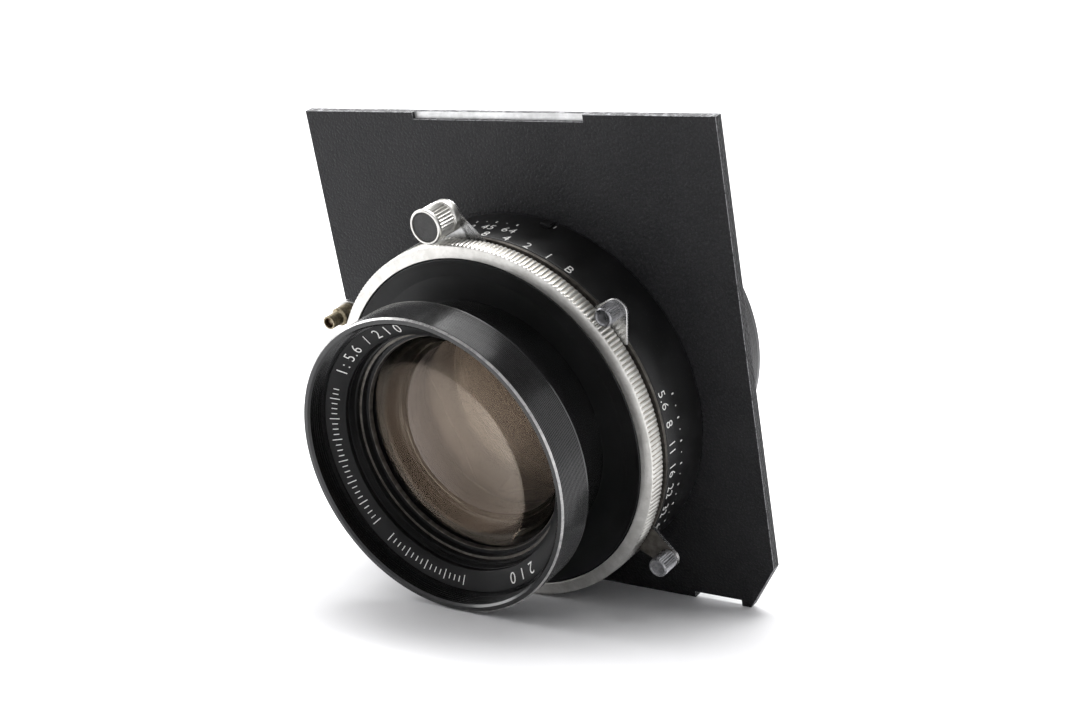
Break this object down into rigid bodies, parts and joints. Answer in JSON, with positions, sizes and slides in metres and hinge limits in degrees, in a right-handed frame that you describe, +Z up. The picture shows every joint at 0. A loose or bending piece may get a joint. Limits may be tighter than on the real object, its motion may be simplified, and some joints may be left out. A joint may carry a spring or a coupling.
{
  "type": "large format lens in leaf shutter on a lens board",
  "caption": "Large-format view camera lens with a knurled leaf shutter, mounted on a flat black lens board and standing on its front rim and the board's edge.",
  "frame": {"origin": "middle of the bounding box on the surface it stands on", "axes": "+Z up; the lens looks towards -Y and down by the lean of the standing pose, 18.39 degrees; +X to the right seen from in front"},
  "size_m": [0.096, 0.0854, 0.0949],
  "materials": {
    "board_black": "fine-textured matte black paint, worn at the edges",
    "shutter_black": "satin black lacquer",
    "anodised_black": "semi-gloss black anodised, finely ridged",
    "name_ring_black": "satin black with engraved white figures",
    "silver_satin": "satin chrome with knurled edge",
    "polished_steel": "polished steel lever, slightly worn",
    "aged_brass": "aged nickel-plated brass",
    "gear_brass": "plain brass",
    "blade_black": "thin blackened steel",
    "spring_steel": "spring wire",
    "knob_cap_black": "black lacquered cap",
    "insulator_brown": "moulded insulator",
    "coated_glass": "polished, amber single-layer coating"
  },
  "bodies": {
    "lens_unit": {"lens_board": "board_black", "light_trap_rib": "board_black", "shutter_retaining_ring": "anodised_black", "shutter_housing": "shutter_black", "mechanism_plate": "shutter_black", "front_plate": "shutter_black", "index_tab": "shutter_black", "sync_bracket": "polished_steel", "sync_socket": "aged_brass", "sync_insulator": "insulator_brown", "sync_contact": "gear_brass", "cable_release_socket": "polished_steel", "main_spring": "spring_steel", "release_spring": "spring_steel", "front_barrel": "anodised_black", "name_ring": "name_ring_black", "front_baffle_ring": "anodised_black", "front_glass_outer": "coated_glass", "front_glass_middle": "coated_glass", "front_spacer": "anodised_black", "front_glass_inner": "coated_glass", "rear_barrel": "anodised_black", "rear_glass_inner": "coated_glass", "rear_spacer": "anodised_black", "rear_glass_middle": "coated_glass", "rear_glass_outer": "coated_glass", "rear_retainer": "anodised_black"},
    "speed_ring": {"speed_ring": "silver_satin"},
    "aperture_control": {"aperture_ring": "shutter_black", "aperture_lever_knob": "polished_steel", "aperture_drive_pin": "spring_steel", "iris_cam_ring": "gear_brass"},
    "blade_drive": {"blade_ring": "spring_steel"},
    "cocking_lever": {"cocking_lever": "polished_steel", "cocking_knob": "silver_satin", "cocking_knob_cap": "knob_cap_black"},
    "release_lever": {"release_lever": "polished_steel", "release_knob": "polished_steel"},
    "cable_plunger": {"cable_plunger": "polished_steel"},
    "retard_gear": {"retard_gear": "gear_brass"},
    "retard_pinion": {"retard_pinion": "gear_brass", "retard_wheel": "spring_steel"},
    "iris_blade_0": {"iris_blade_0": "blade_black"},
    "iris_blade_1": {"iris_blade_1": "blade_black"},
    "iris_blade_2": {"iris_blade_2": "blade_black"},
    "iris_blade_3": {"iris_blade_3": "blade_black"},
    "iris_blade_4": {"iris_blade_4": "blade_black"},
    "iris_blade_5": {"iris_blade_5": "blade_black"},
    "iris_blade_6": {"iris_blade_6": "blade_black"},
    "iris_blade_7": {"iris_blade_7": "blade_black"},
    "iris_blade_8": {"iris_blade_8": "blade_black"},
    "iris_blade_9": {"iris_blade_9": "blade_black"},
    "shutter_blade_0": {"shutter_blade_0": "blade_black"},
    "shutter_blade_1": {"shutter_blade_1": "blade_black"},
    "shutter_blade_2": {"shutter_blade_2": "blade_black"},
    "shutter_blade_3": {"shutter_blade_3": "blade_black"},
    "shutter_blade_4": {"shutter_blade_4": "blade_black"}
  },
  "joints": [
    {"name": "speed_turn", "type": "hinge", "parent": "lens_unit", "child": "speed_ring", "pos_m": [0, -0.01284, 0.03528], "axis": [0, 0.9489, 0.3155], "range_deg": [-7.4, 59.2]},
    {"name": "aperture_turn", "type": "hinge", "parent": "lens_unit", "child": "aperture_control", "pos_m": [0, -0.01, 0.03623], "axis": [0, 0.9489, 0.3155], "range_deg": [0, 51.8]},
    {"name": "iris_0_swing", "type": "hinge", "parent": "lens_unit", "child": "iris_blade_0", "pos_m": [0, -0.00836, 0.06459], "axis": [0, 0.9489, 0.3155], "range_deg": [0, 31.2]},
    {"name": "iris_1_swing", "type": "hinge", "parent": "lens_unit", "child": "iris_blade_1", "pos_m": [0.01552, -0.00701, 0.05973], "axis": [0, 0.9489, 0.3155], "range_deg": [0, 31.2]},
    {"name": "iris_2_swing", "type": "hinge", "parent": "lens_unit", "child": "iris_blade_2", "pos_m": [0.02511, -0.00308, 0.04713], "axis": [0, 0.9489, 0.3155], "range_deg": [0, 31.2]},
    {"name": "iris_3_swing", "type": "hinge", "parent": "lens_unit", "child": "iris_blade_3", "pos_m": [0.02511, 0.00183, 0.03156], "axis": [0, 0.9489, 0.3155], "range_deg": [0, 31.2]},
    {"name": "iris_4_swing", "type": "hinge", "parent": "lens_unit", "child": "iris_blade_4", "pos_m": [0.01552, 0.00576, 0.01896], "axis": [0, 0.9489, 0.3155], "range_deg": [0, 31.2]},
    {"name": "iris_5_swing", "type": "hinge", "parent": "lens_unit", "child": "iris_blade_5", "pos_m": [0, 0.00711, 0.01409], "axis": [0, 0.9489, 0.3155], "range_deg": [0, 31.2]},
    {"name": "iris_6_swing", "type": "hinge", "parent": "lens_unit", "child": "iris_blade_6", "pos_m": [-0.01552, 0.00528, 0.0188], "axis": [0, 0.9489, 0.3155], "range_deg": [0, 31.2]},
    {"name": "iris_7_swing", "type": "hinge", "parent": "lens_unit", "child": "iris_blade_7", "pos_m": [-0.02511, 0.00088, 0.03125], "axis": [0, 0.9489, 0.3155], "range_deg": [0, 31.2]},
    {"name": "iris_8_swing", "type": "hinge", "parent": "lens_unit", "child": "iris_blade_8", "pos_m": [-0.02511, -0.0045, 0.04665], "axis": [0, 0.9489, 0.3155], "range_deg": [0, 31.2]},
    {"name": "iris_9_swing", "type": "hinge", "parent": "lens_unit", "child": "iris_blade_9", "pos_m": [-0.01552, -0.0089, 0.0591], "axis": [0, 0.9489, 0.3155], "range_deg": [0, 31.2]},
    {"name": "blade_drive_turn", "type": "hinge", "parent": "lens_unit", "child": "blade_drive", "pos_m": [0, -0.00515, 0.03784], "axis": [0, -0.9489, -0.3155], "range_deg": [0, 14.3]},
    {"name": "shutter_0_swing", "type": "hinge", "parent": "lens_unit", "child": "shutter_blade_0", "pos_m": [0, -0.01051, 0.06187], "axis": [0, -0.9489, -0.3155], "range_deg": [0, 43]},
    {"name": "shutter_1_swing", "type": "hinge", "parent": "lens_unit", "child": "shutter_blade_1", "pos_m": [0.0233, -0.0055, 0.0457], "axis": [0, -0.9489, -0.3155], "range_deg": [0, 43]},
    {"name": "shutter_2_swing", "type": "hinge", "parent": "lens_unit", "child": "shutter_blade_2", "pos_m": [0.0144, 0.00281, 0.0196], "axis": [0, -0.9489, -0.3155], "range_deg": [0, 43]},
    {"name": "shutter_3_swing", "type": "hinge", "parent": "lens_unit", "child": "shutter_blade_3", "pos_m": [-0.0144, 0.00247, 0.01949], "axis": [0, -0.9489, -0.3155], "range_deg": [0, 43]},
    {"name": "shutter_4_swing", "type": "hinge", "parent": "lens_unit", "child": "shutter_blade_4", "pos_m": [-0.0233, -0.0065, 0.04537], "axis": [0, -0.9489, -0.3155], "range_deg": [0, 43]},
    {"name": "cocking_turn", "type": "hinge", "parent": "lens_unit", "child": "cocking_lever", "pos_m": [0, -0.01113, 0.03585], "axis": [0, 0.9489, 0.3155], "range_deg": [0, 26], "stiffness_Nm_per_rad": 0.03, "springref_deg": -11.46},
    {"name": "release_press", "type": "hinge", "parent": "lens_unit", "child": "release_lever", "pos_m": [0.0244, -0.01737, 0.0546], "axis": [0, 0.9489, 0.3155], "range_deg": [0, 14], "stiffness_Nm_per_rad": 0.01, "springref_deg": -11.46},
    {"name": "plunger_push", "type": "slide", "parent": "lens_unit", "child": "cable_plunger", "axis": [0.9659, -0.0816, 0.2456], "range_m": [0, 0.0012], "stiffness_N_per_m": 60, "springref_m": -0.001},
    {"name": "retard_gear_spin", "type": "hinge", "parent": "lens_unit", "child": "retard_gear", "pos_m": [0.02821, -0.00419, 0.03019], "axis": [0, 0.9489, 0.3155], "range_deg": [-78.5, 0.5]},
    {"name": "retard_pinion_spin", "type": "hinge", "parent": "lens_unit", "child": "retard_pinion", "pos_m": [0.02665, -0.00237, 0.02469], "axis": [0, 0.9489, 0.3155], "range_deg": [-0.5, 157]}
  ],
  "couplings": [
    {"joint": "iris_0_swing", "follows": "aperture_turn", "ratio": 0.6},
    {"joint": "iris_1_swing", "follows": "aperture_turn", "ratio": 0.6},
    {"joint": "iris_2_swing", "follows": "aperture_turn", "ratio": 0.6},
    {"joint": "iris_3_swing", "follows": "aperture_turn", "ratio": 0.6},
    {"joint": "iris_4_swing", "follows": "aperture_turn", "ratio": 0.6},
    {"joint": "iris_5_swing", "follows": "aperture_turn", "ratio": 0.6},
    {"joint": "iris_6_swing", "follows": "aperture_turn", "ratio": 0.6},
    {"joint": "iris_7_swing", "follows": "aperture_turn", "ratio": 0.6},
    {"joint": "iris_8_swing", "follows": "aperture_turn", "ratio": 0.6},
    {"joint": "iris_9_swing", "follows": "aperture_turn", "ratio": 0.6},
    {"joint": "shutter_0_swing", "follows": "blade_drive_turn", "ratio": 3},
    {"joint": "shutter_1_swing", "follows": "blade_drive_turn", "ratio": 3},
    {"joint": "shutter_2_swing", "follows": "blade_drive_turn", "ratio": 3},
    {"joint": "shutter_3_swing", "follows": "blade_drive_turn", "ratio": 3},
    {"joint": "shutter_4_swing", "follows": "blade_drive_turn", "ratio": 3},
    {"joint": "retard_gear_spin", "follows": "cocking_turn", "ratio": -3},
    {"joint": "retard_pinion_spin", "follows": "cocking_turn", "ratio": 6}
  ]
}
